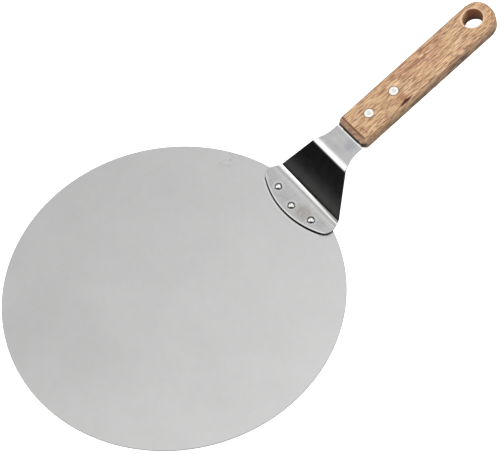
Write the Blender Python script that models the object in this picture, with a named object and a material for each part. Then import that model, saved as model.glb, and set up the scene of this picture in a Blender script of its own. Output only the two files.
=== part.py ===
"""Cake lifter: a thin round steel blade, a bent steel shank riveted onto it and a wooden handle.

Frame: the origin is the centre of the blade on its underside, +X runs along the handle and +Z is up. Metres.
"""

import math

import bmesh
import bpy
from mathutils import Vector

# Gap kept between pieces that touch
SEAT_GAP = 0.0003
# How far a cutting shape runs past the faces it cuts
OVERRUN = 0.002
# Points closer together than this are one point
MERGE_DISTANCE = 0.000002

# Blade
BLADE_DIAMETER = 0.255
BLADE_THICKNESS = 0.0010
BLADE_RIM_BEVEL = 0.0002
BLADE_SIDES = 180

# Shank, cut from one plate and bent twice
SHANK_THICKNESS = 0.0015
SHANK_EDGE_BEVEL = 0.0002
FOOT_OVERLAP = 0.0232
FOOT_FRONT_RADIUS = 0.069
FOOT_CORNER_RADIUS = 0.0078
FOOT_BEND_WIDTH = 0.0698
TAPER_ANGLE = math.radians(22.5)
BEND_BEYOND_BLADE = 0.0018
LOWER_BEND_RADIUS = 0.0030
SLOPE_ANGLE = math.radians(57.4)
SLOPE_LENGTH = 0.0382
UPPER_BEND_RADIUS = 0.0055
HANDLE_RISE = math.radians(15.4)
NECK_LENGTH = 0.0209
NECK_WIDTH = 0.0282
NECK_FILLET_RADIUS = 0.025
TANG_WIDTH = 0.0160
TANG_BEYOND_RIVET = 0.0087
BEND_STEPS = 8
ARC_STEPS = 20
CORNER_STEPS = 8

# Rivets that hold the shank's foot on the blade
BLADE_RIVET_SHANK = 0.0030
BLADE_RIVET_HEAD = 0.0054
BLADE_RIVET_DOME = 0.0013
BLADE_RIVET_TAIL = 0.0044
BLADE_RIVET_RECESS = 0.0001
BLADE_RIVET_EDGE_DISTANCE = 0.0073
BLADE_RIVET_SPACING = 0.0197
BLADE_RIVET_SIDES = 32
DOME_STEPS = 6

# Handle, one piece of wood
HANDLE_LENGTH = 0.1422
HANDLE_WIDTH = 0.0282
HANDLE_THICKNESS = 0.0163
HANDLE_EDGE_RADIUS = 0.0034
HANDLE_FRONT_LEAN = 0.0043
HANDLE_FRONT_EDGE_RADIUS = 0.0010
HANDLE_FRONT_CORNER_RADIUS = 0.0012
HANDLE_END_LENGTH = 0.0152
HANDLE_END_FULLNESS = 2.4
HANDLE_EDGE_STEPS = 6
HANDLE_END_STEPS = 18
HANG_HOLE_DIAMETER = 0.0152
HANG_HOLE_FROM_END = 0.0161
HANG_HOLE_OFF_MIDDLE = 0.0013
HANG_HOLE_MOUTH_RADIUS = 0.0012
HANG_HOLE_SIDES = 48
MOUTH_STEPS = 4

# Rivets that hold the handle on the tang
HANDLE_RIVET_SHANK = 0.0044
HANDLE_RIVET_HEAD = 0.0073
HANDLE_RIVET_HEAD_THICKNESS = 0.0012
HANDLE_RIVET_CROWN = 0.0002
HANDLE_RIVET_DIMPLE = 0.0030
HANDLE_RIVET_DIMPLE_DEPTH = 0.0002
HANDLE_RIVET_FROM_FRONT = 0.0207
HANDLE_RIVET_SPACING = 0.0249
HANDLE_RIVET_SIDES = 40

# Sizes that follow from the ones above; the foot and its bend keep their places at the blade's rim
FOOT_FRONT_X = BLADE_DIAMETER / 2 - FOOT_OVERLAP
LOWER_BEND_X = BLADE_DIAMETER / 2 + BEND_BEYOND_BLADE
TANG_LENGTH = HANDLE_RIVET_FROM_FRONT + HANDLE_RIVET_SPACING + TANG_BEYOND_RIVET
FOOT_MID_Z = BLADE_THICKNESS + SEAT_GAP + SHANK_THICKNESS / 2
LOWER_MID_RADIUS = LOWER_BEND_RADIUS + SHANK_THICKNESS / 2
UPPER_MID_RADIUS = UPPER_BEND_RADIUS + SHANK_THICKNESS / 2
UPPER_BEND_ANGLE = SLOPE_ANGLE - HANDLE_RISE
LOWER_TANGENT = LOWER_MID_RADIUS * math.tan(SLOPE_ANGLE / 2)
UPPER_TANGENT = UPPER_MID_RADIUS * math.tan(UPPER_BEND_ANGLE / 2)

# Distances along the flat blank, measured on its middle layer from below the blade's centre
LOWER_BEND_START = LOWER_BEND_X - LOWER_TANGENT
LOWER_BEND_END = LOWER_BEND_START + LOWER_MID_RADIUS * SLOPE_ANGLE
UPPER_BEND_START = LOWER_BEND_END + SLOPE_LENGTH - LOWER_TANGENT - UPPER_TANGENT
UPPER_BEND_END = UPPER_BEND_START + UPPER_MID_RADIUS * UPPER_BEND_ANGLE
HANDLE_FRONT_U = UPPER_BEND_END + NECK_LENGTH - UPPER_TANGENT
SHOULDER_U = HANDLE_FRONT_U - SEAT_GAP
TANG_END_U = HANDLE_FRONT_U + TANG_LENGTH

# The corner where the slope's middle layer would meet the neck's, which the handle's axis starts from
UPPER_CORNER_X = LOWER_BEND_X + SLOPE_LENGTH * math.cos(SLOPE_ANGLE)
UPPER_CORNER_Z = FOOT_MID_Z + SLOPE_LENGTH * math.sin(SLOPE_ANGLE)

BLADE_RIVET_HOLE = BLADE_RIVET_SHANK + 2 * SEAT_GAP
HANDLE_RIVET_BORE = HANDLE_RIVET_SHANK + 2 * SEAT_GAP


def arc(centre, radius, start, end, steps):
    """Points of an arc about centre, from angle start to angle end, both ends included."""
    points = []
    for i in range(steps + 1):
        a = start + (end - start) * i / steps
        points.append((centre[0] + radius * math.cos(a), centre[1] + radius * math.sin(a)))
    return points


def blank_half_outline():
    """One side of the flat blank as (distance along, half width), from the foot's front to the tang's end."""
    along = (math.cos(TAPER_ANGLE), -math.sin(TAPER_ANGLE))
    outward = (math.sin(TAPER_ANGLE), math.cos(TAPER_ANGLE))
    on_taper = (LOWER_BEND_START, FOOT_BEND_WIDTH / 2)
    front_centre = (FOOT_FRONT_X + FOOT_FRONT_RADIUS, 0.0)

    # The corner's centre lies on the taper moved inwards, and inside the front arc, by the corner's radius
    base_x = on_taper[0] - FOOT_CORNER_RADIUS * outward[0] - front_centre[0]
    base_y = on_taper[1] - FOOT_CORNER_RADIUS * outward[1]
    b = base_x * along[0] + base_y * along[1]
    c = base_x**2 + base_y**2 - (FOOT_FRONT_RADIUS - FOOT_CORNER_RADIUS) ** 2
    step = -b - math.sqrt(b * b - c)
    corner = (front_centre[0] + base_x + step * along[0], base_y + step * along[1])
    corner_angle = math.atan2(corner[1], corner[0] - front_centre[0])
    taper_angle = math.atan2(outward[1], outward[0])

    # The fillet's centre lies outside the blank, one radius from the taper and from the neck's side
    neck_half = NECK_WIDTH / 2
    fillet_y = neck_half + NECK_FILLET_RADIUS
    reach = NECK_FILLET_RADIUS - outward[1] * (fillet_y - on_taper[1])
    fillet = (on_taper[0] + reach / outward[0], fillet_y)

    tang_half = TANG_WIDTH / 2
    outline = arc(front_centre, FOOT_FRONT_RADIUS, math.pi, corner_angle, ARC_STEPS)[:-1]
    outline += arc(corner, FOOT_CORNER_RADIUS, corner_angle, taper_angle, CORNER_STEPS)
    outline += arc(fillet, NECK_FILLET_RADIUS, taper_angle - math.pi, -math.pi / 2, CORNER_STEPS)
    outline += [(SHOULDER_U, neck_half), (SHOULDER_U, tang_half)]
    outline += arc((TANG_END_U - tang_half, 0.0), tang_half, math.pi / 2, 0.0, CORNER_STEPS)
    return outline


def folded(u):
    """Where the middle layer of the bent plate is at distance u along the blank, as (x, z)."""
    if u <= LOWER_BEND_START:
        return u, FOOT_MID_Z
    if u <= LOWER_BEND_END:
        a = (u - LOWER_BEND_START) / LOWER_MID_RADIUS
        return (
            LOWER_BEND_START + LOWER_MID_RADIUS * math.sin(a),
            FOOT_MID_Z + LOWER_MID_RADIUS * (1 - math.cos(a)),
        )
    if u <= UPPER_BEND_START:
        d = u - LOWER_BEND_END + LOWER_TANGENT
        return LOWER_BEND_X + d * math.cos(SLOPE_ANGLE), FOOT_MID_Z + d * math.sin(SLOPE_ANGLE)
    if u <= UPPER_BEND_END:
        a = SLOPE_ANGLE - (u - UPPER_BEND_START) / UPPER_MID_RADIUS
        start_x = UPPER_CORNER_X - UPPER_TANGENT * math.cos(SLOPE_ANGLE)
        start_z = UPPER_CORNER_Z - UPPER_TANGENT * math.sin(SLOPE_ANGLE)
        return (
            start_x + UPPER_MID_RADIUS * (math.sin(SLOPE_ANGLE) - math.sin(a)),
            start_z + UPPER_MID_RADIUS * (math.cos(a) - math.cos(SLOPE_ANGLE)),
        )
    d = u - UPPER_BEND_END + UPPER_TANGENT
    return UPPER_CORNER_X + d * math.cos(HANDLE_RISE), UPPER_CORNER_Z + d * math.sin(HANDLE_RISE)


def material(name, colour, roughness, metallic):
    """A plain material with the piece's colour."""
    m = bpy.data.materials.new(name)
    m.use_nodes = True
    shader = m.node_tree.nodes["Principled BSDF"]
    shader.inputs["Base Color"].default_value = (*colour, 1.0)
    shader.inputs["Roughness"].default_value = roughness
    shader.inputs["Metallic"].default_value = metallic
    return m


def make_mesh(name, bm):
    """Turns a bmesh into a mesh."""
    mesh = bpy.data.meshes.new(name)
    bm.to_mesh(mesh)
    bm.free()
    return mesh


def add_object(name, mesh, parent=None, location=(0.0, 0.0, 0.0)):
    """Puts a mesh, or an empty where there is none, into the scene under its parent."""
    obj = bpy.data.objects.new(name, mesh)
    bpy.context.scene.collection.objects.link(obj)
    obj.parent = parent
    obj.location = location
    return obj


def shade(mesh, surface):
    """Gives a piece's mesh its material, smooth round faces and crisp corners."""
    mesh.materials.clear()
    mesh.materials.append(surface)
    mesh.shade_smooth()
    mesh.set_sharp_from_angle(angle=math.radians(30))


def finish(piece, surface):
    """Applies a piece's bevels and cuts, removes the cutting shapes and shades it."""
    cutters = [m.object for m in piece.modifiers if m.type == "BOOLEAN"]
    shaped = bpy.data.meshes.new_from_object(piece.evaluated_get(bpy.context.evaluated_depsgraph_get()))
    piece.modifiers.clear()
    blank = piece.data
    piece.data = shaped
    bpy.data.meshes.remove(blank)
    shaped.name = piece.name
    shade(shaped, surface)
    for cutter in cutters:
        bpy.data.objects.remove(cutter)
    return piece


def turned(profile, sides, centres=((0.0, 0.0),)):
    """Solids turned about Z, one for each centre, from (radius, height) points that run upwards."""
    bm = bmesh.new()
    for x, y in centres:
        verts = [bm.verts.new((x + r, y, z)) for r, z in profile]
        edges = [bm.edges.new(pair) for pair in zip(verts, verts[1:])]
        bmesh.ops.spin(
            bm,
            geom=verts + edges,
            cent=(x, y, 0.0),
            axis=(0.0, 0.0, 1.0),
            angle=2 * math.pi,
            steps=sides,
            use_merge=True,
        )
    bmesh.ops.remove_doubles(bm, verts=bm.verts, dist=MERGE_DISTANCE)
    bmesh.ops.recalc_face_normals(bm, faces=bm.faces)
    return bm


def subtract(piece, name, bm, parent=None):
    """Cuts a closed shape out of a piece."""
    cutter = add_object(name, make_mesh(name, bm), parent)
    cutter.hide_render = True
    cutter.display_type = "WIRE"
    cut = piece.modifiers.new(name, "BOOLEAN")
    cut.operation = "DIFFERENCE"
    cut.object = cutter


def bevel(obj, width):
    """Breaks a piece's square edges."""
    edge = obj.modifiers.new("broken_edges", "BEVEL")
    edge.width = width
    edge.segments = 1
    edge.limit_method = "ANGLE"
    edge.angle_limit = math.radians(60)


def blade_rivet_places():
    """Centres of the three foot rivets, on an arc that follows the foot's front edge."""
    radius = FOOT_FRONT_RADIUS - BLADE_RIVET_EDGE_DISTANCE
    centre_x = FOOT_FRONT_X + FOOT_FRONT_RADIUS
    places = []
    for y in (-BLADE_RIVET_SPACING, 0.0, BLADE_RIVET_SPACING):
        places.append((centre_x - math.sqrt(radius**2 - y**2), y))
    return places


def plain_hole(diameter, low, high):
    """A straight hole's cutting profile as (radius, height) points."""
    return [(0.0, low), (diameter / 2, low), (diameter / 2, high), (0.0, high)]


def tail_profile(clearance):
    """The rivet's countersunk tail as (radius, height) points, made larger all round by the clearance."""
    flare = (BLADE_RIVET_TAIL - BLADE_RIVET_SHANK) / 2
    return [
        (BLADE_RIVET_TAIL / 2 + clearance, BLADE_RIVET_RECESS),
        (BLADE_RIVET_SHANK / 2 + clearance, BLADE_RIVET_RECESS + flare),
    ]


def make_blade(surface):
    bm = bmesh.new()
    bmesh.ops.create_cone(
        bm,
        cap_ends=True,
        segments=BLADE_SIDES,
        radius1=BLADE_DIAMETER / 2,
        radius2=BLADE_DIAMETER / 2,
        depth=BLADE_THICKNESS,
    )
    bmesh.ops.translate(bm, verts=bm.verts, vec=(0.0, 0.0, BLADE_THICKNESS / 2))
    blade = add_object("blade", make_mesh("blade", bm))
    bevel(blade, BLADE_RIM_BEVEL)

    tail = tail_profile(SEAT_GAP)
    profile = [(0.0, -OVERRUN), (tail[0][0], -OVERRUN), *tail]
    profile += [(BLADE_RIVET_HOLE / 2, BLADE_THICKNESS + OVERRUN), (0.0, BLADE_THICKNESS + OVERRUN)]
    subtract(blade, "blade_rivet_holes", turned(profile, BLADE_RIVET_SIDES, blade_rivet_places()))
    return finish(blade, surface)


def make_shank(handle_front, surface):
    """Cuts the blank's outline, marks the bend lines, folds it, gives it its thickness and pierces it."""
    half = blank_half_outline()
    outline = [(u, w) for u, w in half] + [(u, -w) for u, w in reversed(half[1:-1])]
    bm = bmesh.new()
    bm.faces.new([bm.verts.new((u, w, 0.0)) for u, w in reversed(outline)])
    lines = []
    for start, end in ((LOWER_BEND_START, LOWER_BEND_END), (UPPER_BEND_START, UPPER_BEND_END)):
        lines += [start + (end - start) * i / BEND_STEPS for i in range(BEND_STEPS + 1)]
    for u in lines:
        bmesh.ops.bisect_plane(
            bm,
            geom=bm.verts[:] + bm.edges[:] + bm.faces[:],
            dist=MERGE_DISTANCE,
            plane_co=(u, 0.0, 0.0),
            plane_no=(1.0, 0.0, 0.0),
        )
    for vert in bm.verts:
        x, z = folded(vert.co.x)
        vert.co = Vector((x, vert.co.y, z))
    bm.normal_update()
    shank = add_object("shank", make_mesh("shank", bm))

    plate = shank.modifiers.new("plate", "SOLIDIFY")
    plate.thickness = SHANK_THICKNESS
    plate.offset = 0.0
    plate.use_even_offset = True
    bevel(shank, SHANK_EDGE_BEVEL)

    reach = SHANK_THICKNESS / 2 + OVERRUN
    foot_profile = plain_hole(BLADE_RIVET_HOLE, FOOT_MID_Z - reach, FOOT_MID_Z + reach)
    subtract(shank, "foot_rivet_holes", turned(foot_profile, BLADE_RIVET_SIDES, blade_rivet_places()))
    tang_profile = plain_hole(HANDLE_RIVET_BORE, -reach, reach)
    tang_holes = turned(tang_profile, HANDLE_RIVET_SIDES, handle_rivet_places())
    subtract(shank, "tang_rivet_holes", tang_holes, handle_front)
    return finish(shank, surface)


def make_blade_rivets(surface):
    """Domed heads over the foot, countersunk tails level with the blade's underside."""
    head_z = FOOT_MID_Z + SHANK_THICKNESS / 2 + SEAT_GAP
    head_half = BLADE_RIVET_HEAD / 2
    dome_radius = (head_half**2 + BLADE_RIVET_DOME**2) / (2 * BLADE_RIVET_DOME)
    edge_angle = math.asin(head_half / dome_radius)
    profile = [(0.0, BLADE_RIVET_RECESS), *tail_profile(0.0), (BLADE_RIVET_SHANK / 2, head_z)]
    for i in range(DOME_STEPS + 1):
        a = edge_angle * (1 - i / DOME_STEPS)
        height = head_z + BLADE_RIVET_DOME - dome_radius * (1 - math.cos(a))
        profile.append((dome_radius * math.sin(a), height))
    mesh = make_mesh("blade_rivet", turned(profile, BLADE_RIVET_SIDES))
    shade(mesh, surface)
    names = ("blade_rivet_right", "blade_rivet_middle", "blade_rivet_left")
    return [add_object(name, mesh, location=(x, y, 0.0)) for name, (x, y) in zip(names, blade_rivet_places())]


def handle_ring(height):
    """The handle's outline at a height over its middle, as (distance from the front, half width)."""
    half_thickness = HANDLE_THICKNESS / 2
    above = max(abs(height) - (half_thickness - HANDLE_EDGE_RADIUS), 0.0)
    inset = HANDLE_EDGE_RADIUS - math.sqrt(max(HANDLE_EDGE_RADIUS**2 - above**2, 0.0))
    front = HANDLE_FRONT_LEAN * abs(height) / half_thickness
    rise = max(abs(height) - (half_thickness - HANDLE_FRONT_EDGE_RADIUS), 0.0)
    front += HANDLE_FRONT_EDGE_RADIUS - math.sqrt(max(HANDLE_FRONT_EDGE_RADIUS**2 - rise**2, 0.0))

    half_width = HANDLE_WIDTH / 2 - inset
    corner = HANDLE_FRONT_CORNER_RADIUS
    side = arc((front + corner, half_width - corner), corner, math.pi, math.pi / 2, CORNER_STEPS)
    end_start = HANDLE_LENGTH - HANDLE_END_LENGTH
    power = 2 / HANDLE_END_FULLNESS
    for i in range(HANDLE_END_STEPS):
        a = math.pi / 2 * i / HANDLE_END_STEPS
        reach = (HANDLE_END_LENGTH - inset) * math.sin(a) ** power
        side.append((end_start + reach, half_width * math.cos(a) ** power))
    side.append((HANDLE_LENGTH - inset, 0.0))
    return side + [(s, -w) for s, w in reversed(side[:-1])]


def make_handle(parent, surface):
    """Lofts the handle through its outlines and cuts the hanging hole, the tang's slot and the bores."""
    half_thickness = HANDLE_THICKNESS / 2
    heights = []
    for i in range(HANDLE_EDGE_STEPS + 1):
        a = math.pi / 2 * (1 - i / HANDLE_EDGE_STEPS)
        heights.append(half_thickness - HANDLE_EDGE_RADIUS * (1 - math.sin(a)))
    heights += [0.0] + [-h for h in reversed(heights)]
    bm = bmesh.new()
    rings = []
    for height in heights:
        rings.append([bm.verts.new((s, w, height)) for s, w in handle_ring(height)])
    for upper, lower in zip(rings, rings[1:]):
        for i in range(len(upper)):
            j = (i + 1) % len(upper)
            bm.faces.new((upper[i], upper[j], lower[j], lower[i]))
    bm.faces.new(list(reversed(rings[0])))
    bm.faces.new(rings[-1])
    bmesh.ops.recalc_face_normals(bm, faces=bm.faces)
    handle = add_object("handle", make_mesh("handle", bm), parent)

    hole_half = HANG_HOLE_DIAMETER / 2
    mouth = HANG_HOLE_MOUTH_RADIUS
    flare = []
    for i in range(MOUTH_STEPS + 1):
        a = math.pi / 2 * i / MOUTH_STEPS
        flare.append((hole_half + mouth * (1 - math.cos(a)), half_thickness - mouth * (1 - math.sin(a))))
    above = half_thickness + OVERRUN
    upper_side = flare + [(hole_half + mouth, above), (0.0, above)]
    profile = [(r, -h) for r, h in reversed(upper_side)] + upper_side
    hole_place = ((HANDLE_LENGTH - HANG_HOLE_FROM_END, HANG_HOLE_OFF_MIDDLE),)
    subtract(handle, "hanging_hole", turned(profile, HANG_HOLE_SIDES, hole_place), parent)

    bm = bmesh.new()
    bmesh.ops.create_cube(bm, size=1.0)
    slot_length = TANG_LENGTH + SEAT_GAP
    slot_size = (slot_length + OVERRUN, TANG_WIDTH + 2 * SEAT_GAP, SHANK_THICKNESS + 2 * SEAT_GAP)
    bmesh.ops.scale(bm, verts=bm.verts, vec=slot_size)
    bmesh.ops.translate(bm, verts=bm.verts, vec=((slot_length - OVERRUN) / 2, 0.0, 0.0))
    subtract(handle, "tang_slot", bm, parent)

    head = HANDLE_RIVET_HEAD / 2 + SEAT_GAP
    seat = half_thickness - HANDLE_RIVET_HEAD_THICKNESS - SEAT_GAP
    bore = HANDLE_RIVET_BORE / 2
    above = half_thickness + OVERRUN
    upper_side = [(bore, seat), (head, seat), (head, above), (0.0, above)]
    profile = [(r, -h) for r, h in reversed(upper_side)] + upper_side
    subtract(handle, "handle_rivet_bores", turned(profile, HANDLE_RIVET_SIDES, handle_rivet_places()), parent)
    return finish(handle, surface)


def handle_rivet_places():
    """Centres of the handle's rivets, measured from the handle's front along its axis."""
    first = HANDLE_RIVET_FROM_FRONT
    return ((first, 0.0), (first + HANDLE_RIVET_SPACING, 0.0))


def make_handle_rivets(parent, surface):
    """Rivets with a flat head let into each face, a low crown and a shallow dimple in the middle."""
    top = HANDLE_THICKNESS / 2
    seat = top - HANDLE_RIVET_HEAD_THICKNESS
    head = HANDLE_RIVET_HEAD / 2
    dimple = HANDLE_RIVET_DIMPLE / 2
    upper_side = [
        (HANDLE_RIVET_SHANK / 2, seat),
        (head, seat),
        (head, top),
        ((head + dimple) / 2, top + HANDLE_RIVET_CROWN),
        (dimple, top + HANDLE_RIVET_CROWN),
        (dimple / 2, top + HANDLE_RIVET_CROWN - HANDLE_RIVET_DIMPLE_DEPTH),
        (0.0, top + HANDLE_RIVET_CROWN - HANDLE_RIVET_DIMPLE_DEPTH),
    ]
    profile = [(r, -h) for r, h in reversed(upper_side)] + upper_side
    mesh = make_mesh("handle_rivet", turned(profile, HANDLE_RIVET_SIDES))
    shade(mesh, surface)
    names = ("handle_rivet_front", "handle_rivet_rear")
    return [add_object(name, mesh, parent, (s, w, 0.0)) for name, (s, w) in zip(names, handle_rivet_places())]


def make_handle_front():
    """The handle's frame, on the tang's middle layer at the handle's front and tilted by its rise."""
    front_x = UPPER_CORNER_X + NECK_LENGTH * math.cos(HANDLE_RISE)
    front_z = UPPER_CORNER_Z + NECK_LENGTH * math.sin(HANDLE_RISE)
    handle_front = add_object("handle_front", None, location=(front_x, 0.0, front_z))
    handle_front.rotation_euler = (0.0, -HANDLE_RISE, 0.0)
    return handle_front


def main():
    for obj in list(bpy.data.objects):
        bpy.data.objects.remove(obj)
    steel = material("steel", (0.56, 0.56, 0.55), 0.38, 1.0)
    aluminium = material("aluminium", (0.80, 0.80, 0.79), 0.30, 1.0)
    wood = material("wood", (0.50, 0.33, 0.19), 0.60, 0.0)
    handle_front = make_handle_front()
    make_blade(steel)
    make_shank(handle_front, steel)
    make_blade_rivets(steel)
    make_handle(handle_front, wood)
    make_handle_rivets(handle_front, aluminium)


main()
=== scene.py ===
"""Cake lifter: the finish of its blade, bent shank, rivets and wooden handle, and the stage it is shown on.

Metres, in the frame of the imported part: the origin is the centre of the blade's underside, +X runs along the
handle and +Z is up. Each operator makes one piece, or one group of like pieces.
"""

from math import asin, atan2, cos, pi, radians, sin, sqrt, tan

import bmesh
import bpy
from bpy.props import FloatProperty, FloatVectorProperty, IntProperty, PointerProperty
from mathutils import Matrix, Vector


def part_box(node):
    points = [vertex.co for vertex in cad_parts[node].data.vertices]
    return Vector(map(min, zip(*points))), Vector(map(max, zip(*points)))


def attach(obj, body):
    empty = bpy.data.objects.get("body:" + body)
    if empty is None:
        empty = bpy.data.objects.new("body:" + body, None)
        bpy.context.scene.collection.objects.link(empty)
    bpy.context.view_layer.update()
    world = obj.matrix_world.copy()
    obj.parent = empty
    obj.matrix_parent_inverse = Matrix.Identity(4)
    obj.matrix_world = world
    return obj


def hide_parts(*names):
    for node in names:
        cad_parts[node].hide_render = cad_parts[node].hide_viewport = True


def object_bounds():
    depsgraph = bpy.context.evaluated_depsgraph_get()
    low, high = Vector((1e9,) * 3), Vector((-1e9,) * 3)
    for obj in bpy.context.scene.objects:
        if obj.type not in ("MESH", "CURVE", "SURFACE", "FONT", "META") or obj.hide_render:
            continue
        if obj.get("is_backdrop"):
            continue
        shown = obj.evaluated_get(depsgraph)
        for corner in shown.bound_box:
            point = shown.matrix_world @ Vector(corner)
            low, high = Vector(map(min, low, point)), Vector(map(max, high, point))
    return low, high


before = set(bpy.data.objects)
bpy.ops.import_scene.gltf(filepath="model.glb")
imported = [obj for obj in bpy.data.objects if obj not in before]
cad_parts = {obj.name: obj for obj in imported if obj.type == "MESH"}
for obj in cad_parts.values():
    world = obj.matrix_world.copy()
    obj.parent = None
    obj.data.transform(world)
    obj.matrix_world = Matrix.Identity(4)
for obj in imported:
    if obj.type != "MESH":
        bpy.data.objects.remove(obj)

bl_info = {
    "name": "Cake Lifter",
    "version": (1, 0, 0),
    "blender": (4, 5, 0),
    "location": "View3D > Sidebar > Cake Lifter",
    "description": "Makes a round cake lifter with a bent steel shank and a wooden handle",
    "category": "Add Mesh",
}

# The box of the CAD model, before any piece is replaced
CAD_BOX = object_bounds()
BLADE_LOW, BLADE_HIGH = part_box("blade")
FOOT_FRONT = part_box("shank")[0].x
RIVET_LOW, RIVET_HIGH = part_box("blade_rivet_middle")

# Points closer together than this are one point
TOUCHING = 0.000002
# Gap kept between pieces that touch
SEAT_GAP = 0.0003
# How far cutters run past the faces they cut, and the length of the plate's drills
OVERRUN = 0.002
DRILL_LENGTH = 0.006
# Straight sides of each kind of round shape, and steps of each of the plate's bends
HOLE_SIDES, DOME_SIDES, BORE_SIDES, DISC_SIDES, HANGING_HOLE_SIDES, FLOOR_SIDES = 48, 64, 64, 72, 96, 96
BEND_STEPS = 24
# Edges sharper than this stay sharp in the shading
SMOOTH_ANGLE = radians(35)
# From the blade down to the floor
FLOOR_GAP = 0.0002

# Marks on the steel, and one area of painted shade: the centre and half sizes of each, along x and y
WORN_MARK = (0.107, 0.063), (0.022, 0.008)
# Painted shade: the blade a little darker here, on the side away from the handle
SHADED_AREA = (-0.092, 0.02), (0.052, 0.075)
BROWN_SMUDGE = (0.1142, -0.0112), (0.007, 0.012)
GREY_SMUDGES = (
    ((0.1175, -0.0265), (0.005, 0.006)), ((0.113, 0.0095), (0.0046, 0.007)),
    ((0.1118, 0.0262), (0.0036, 0.0036)),
)
# On the neck, along and across the handle, from the middle of its front
BLUISH_MARK = (-0.005, -0.006), (0.006, 0.0064)
DULL_MARK = (-0.0145, 0.001), (0.0034, 0.013)
# On the wood, from a point this far in front of the first rivet
MARKS_TO_RIVET = 0.0194
KNOT_HAZE = (0.0452, -0.0088), (0.0052, 0.0056)
KNOT_SPINDLE = (0.045, -0.0127), (0.008, 0.0009)
KNOT_MIDDLE = (0.0455, -0.0122), (0.0024, 0.001)
DARK_PATCH = (0.0965, 0.0005), (0.013, 0.0042)
# Painted shadow at one corner of the front, across and upwards
FRONT_CORNER_SHADOW = (-0.0134, 0.0008), (0.0022, 0.0032)


def paint(red, green, blue):
    """A colour given as a screen shows it, 0 to 255, as linear values."""
    linear = []
    for value in (red, green, blue):
        share = value / 255
        linear.append(share / 12.92 if share <= 0.04045 else ((share + 0.055) / 1.055) ** 2.4)
    return tuple(linear)


# Lengths, angles, shares and colours that a user may change


def length(name, description, default):
    return FloatProperty(name=name, description=description, default=default, min=0, unit="LENGTH", precision=5)


def angle(name, description, degrees):
    return FloatProperty(name=name, description=description, default=radians(degrees), subtype="ANGLE")


def share(name, description, default):
    return FloatProperty(name=name, description=description, default=default, min=0, max=1, subtype="FACTOR")


def colour(name, description, default):
    return FloatVectorProperty(name=name, description=description, default=default, min=0, max=1, subtype="COLOR")


class BladeSettings(bpy.types.PropertyGroup):
    """The round sheet."""

    diameter: length("Diameter", "Across the round blade", BLADE_HIGH.x - BLADE_LOW.x)
    thickness: length("Thickness", "Of the sheet", BLADE_HIGH.z - BLADE_LOW.z)
    rim_radius: length("Rim radius", "Of the rounded rim, above and below", 0.00022)
    sides: IntProperty(name="Sides", description="Straight sides of the rim", default=360, min=48)
    metal: colour("Metal", "Colour of the sheet", (0.654, 0.654, 0.651))
    roughness: share("Roughness", "How matt the sheet is", 0.3)


class ShankSettings(bpy.types.PropertyGroup):
    """The plate that is cut from one blank and bent twice."""

    thickness: length("Thickness", "Of the plate", 0.0015)
    edge_radius: length("Edge radius", "How far the cut edges are rounded", 0.00025)
    foot_front: length("Foot front", "From the blade's centre to the foot", FOOT_FRONT)
    foot_radius: length("Foot radius", "Of the foot's front edge", 0.069)
    corner_radius: length("Corner radius", "Of the foot's two corners", 0.0078)
    bend_width: length("Bend width", "Width where the foot turns up", 0.0698)
    taper: angle("Taper", "How far the slope's sides lean in", 22.5)
    lower_bend: length("Lower bend", "Where the foot's plane meets the slope's", 0.1293)
    lower_radius: length("Lower bend radius", "Inside the bend at the foot", 0.003)
    slope: angle("Slope", "How steeply the middle part rises", 57.4)
    slope_length: length("Slope length", "From bend to bend", 0.0382)
    upper_radius: length("Upper bend radius", "Inside the bend at the neck", 0.0055)
    rise: angle("Rise", "How steeply the neck and handle rise", 15.4)
    neck_length: length("Neck length", "From the upper bend to the handle", 0.0209)
    neck_width: length("Neck width", "Where the shank meets the handle", 0.0282)
    fillet_radius: length("Fillet radius", "Between slope and neck", 0.025)
    tang_width: length("Tang width", "Of the part inside the handle", 0.016)
    tang_length: length("Tang length", "Of the part inside the handle", 0.0543)
    metal: colour("Metal", "Colour of the plate", (0.56, 0.56, 0.558))
    roughness: share("Roughness", "How matt the plate is", 0.13)


class BladeRivetSettings(bpy.types.PropertyGroup):
    """The three rivets that hold the foot on the blade."""

    shank: length("Shank", "Across the rivet's shank", 0.003)
    head: length("Head", "Across the domed head", RIVET_HIGH.x - RIVET_LOW.x)
    dome: length("Dome", "Height of the head", 0.0013)
    tail: length("Tail", "Across the countersunk tail", 0.0044)
    recess: length("Recess", "From the blade's underside to the tail", 0.0001)
    edge_distance: length("Edge distance", "From the foot's front edge to the rivets", 0.0073)
    spacing: length("Spacing", "From rivet to rivet", 0.0197)
    metal: colour("Metal", "Colour of the rivets", (0.8, 0.8, 0.79))


class HandleSettings(bpy.types.PropertyGroup):
    """The wooden handle."""

    length: length("Length", "From the front to the end", 0.1422)
    width: length("Width", "From side to side", 0.0282)
    thickness: length("Thickness", "From face to face", 0.0163)
    edge_radius: length("Edge radius", "Of the long edges and the end", 0.0034)
    front_lean: length("Front lean", "How far the front's middle stands out", 0.0043)
    front_edge: length("Front edge", "Rounding of the front's edges", 0.0008)
    end_length: length("End length", "Length of the rounded end", 0.0152)
    end_fullness: FloatProperty(name="End fullness", description="2 is an ellipse, more is squarer", default=2.4)
    hole: length("Hole", "Across the hanging hole", 0.0152)
    hole_from_end: length("Hole from end", "From the handle's end to the hole's centre", 0.0161)
    hole_off_middle: length("Hole off middle", "From the middle line to the hole's centre", 0.0013)
    hole_mouth: length("Hole mouth", "Rounding of the hole's mouths", 0.0012)
    grain_angle: angle("Grain angle", "Between the grain and the handle", 3)
    light_wood: colour("Light wood", "Colour between the streaks", paint(222, 187, 149))
    warm_wood: colour("Warm wood", "Colour of the broad warm streaks", paint(204, 163, 129))
    dark_wood: colour("Dark wood", "Colour of the fine streaks", paint(160, 118, 88))
    pores: colour("Pores", "Colour of the short dark pores", paint(112, 78, 56))


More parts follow.
